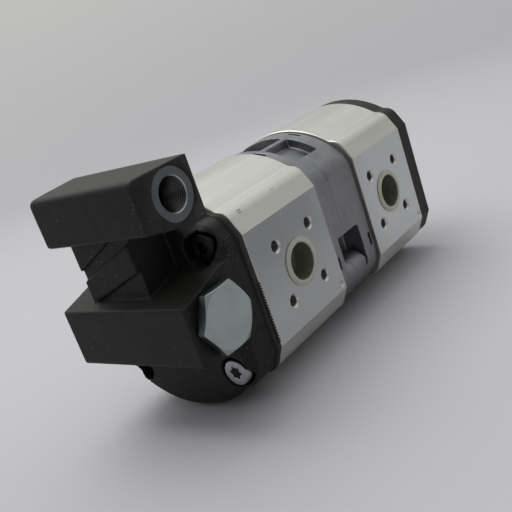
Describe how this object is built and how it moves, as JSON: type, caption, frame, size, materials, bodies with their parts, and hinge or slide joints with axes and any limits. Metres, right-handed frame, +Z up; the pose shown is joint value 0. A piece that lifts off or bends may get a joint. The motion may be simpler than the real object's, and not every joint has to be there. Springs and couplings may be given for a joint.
{
  "type": "hydraulic gear pump",
  "caption": "Tandem external gear pump: two extruded stages, cast coupling housings between, a front cover with spigot and taper shaft, and a cast valve block as rear cover.",
  "frame": {"origin": "where the drive shaft's axis meets the front cover's outer face, at the foot of the pilot", "axes": "+X out along the drive shaft, +Z up from the driven gear to the drive gear, -Y towards the inlet ports"},
  "size_m": [0.2595, 0.0929, 0.1225],
  "materials": {
    "extruded_body": "finely drawn aluminium, bright on the crown and satin on the port faces",
    "cast_housing": "die-cast aluminium, satin grey",
    "cast_iron_cover": "dark phosphated sand casting",
    "painted_cover": "olive-black phosphated casting",
    "screw_steel": "zinc-plated steel",
    "zinc_plug": "pale blue-green zinc plate",
    "gear_steel": "ground hardened steel",
    "bearing_alloy": "machined aluminium alloy",
    "bush_lining": "grey bronze and polymer lining",
    "seal_rubber": "black nitrile",
    "plug_plastic": "milky cream-green translucent plastic",
    "spring_steel": "oil-tempered wire"
  },
  "bodies": {
    "pump": {"body_seals": "seal_rubber", "coupling_housing_front": "cast_housing", "coupling_housing_rear": "cast_housing", "end_plug": "zinc_plug", "end_plug_seal": "seal_rubber", "front_cover": "painted_cover", "front_stage_balance_seals": "seal_rubber", "front_stage_body": "extruded_body", "front_stage_bushes": "bush_lining", "front_stage_front_block": "bearing_alloy", "front_stage_rear_block": "bearing_alloy", "hex_plug": "zinc_plug", "hex_plug_seal": "seal_rubber", "locating_dowels": "gear_steel", "rear_stage_balance_seals": "seal_rubber", "rear_stage_body": "extruded_body", "rear_stage_bushes": "bush_lining", "rear_stage_front_block": "bearing_alloy", "rear_stage_rear_block": "bearing_alloy", "rear_valve_cover": "cast_iron_cover", "seal_circlip": "spring_steel", "shaft_seal": "seal_rubber", "side_gallery_seal": "seal_rubber", "spool_spring": "spring_steel", "stage_seal": "seal_rubber", "tie_screws": "screw_steel"},
    "drive_train": {"rear_drive_gear": "gear_steel", "front_drive_gear": "gear_steel", "coupling_sleeve": "gear_steel", "shaft_key": "gear_steel", "lock_washer": "spring_steel", "shaft_nut": "screw_steel"},
    "rear_driven": {"rear_driven_gear": "gear_steel"},
    "front_driven": {"front_driven_gear": "gear_steel"},
    "spool": {"valve_spool": "gear_steel"},
    "rear_inlet_cap": {"rear_inlet_plug": "plug_plastic"},
    "front_inlet_cap": {"front_inlet_plug": "plug_plastic"},
    "rear_outlet_cap": {"rear_outlet_plug": "plug_plastic"},
    "front_outlet_cap": {"front_outlet_plug": "plug_plastic"}
  },
  "joints": [
    {"name": "drive_spin", "type": "hinge", "parent": "pump", "child": "drive_train", "pos_m": [0, 0, 0], "axis": [1, 0, 0], "continuous": true},
    {"name": "front_driven_spin", "type": "hinge", "parent": "pump", "child": "front_driven", "pos_m": [0, 0, -0.0325], "axis": [1, 0, 0], "continuous": true},
    {"name": "rear_driven_spin", "type": "hinge", "parent": "pump", "child": "rear_driven", "pos_m": [0, 0, -0.0325], "axis": [1, 0, 0], "continuous": true},
    {"name": "spool_slide", "type": "slide", "parent": "pump", "child": "spool", "axis": [0, -1, 0], "range_m": [0, 0.006], "stiffness_N_per_m": 1500, "springref_m": -0.004, "deforming": ["spool_spring"]},
    {"name": "rear_inlet_cap_pull", "type": "slide", "parent": "pump", "child": "rear_inlet_cap", "axis": [0, -1, 0], "range_m": [0, 0.02]},
    {"name": "rear_outlet_cap_pull", "type": "slide", "parent": "pump", "child": "rear_outlet_cap", "axis": [0, 1, 0], "range_m": [0, 0.02]},
    {"name": "front_inlet_cap_pull", "type": "slide", "parent": "pump", "child": "front_inlet_cap", "axis": [0, -1, 0], "range_m": [0, 0.02]},
    {"name": "front_outlet_cap_pull", "type": "slide", "parent": "pump", "child": "front_outlet_cap", "axis": [0, 1, 0], "range_m": [0, 0.02]}
  ],
  "couplings": [
    {"joint": "front_driven_spin", "follows": "drive_spin", "ratio": -1},
    {"joint": "rear_driven_spin", "follows": "drive_spin", "ratio": -1}
  ]
}
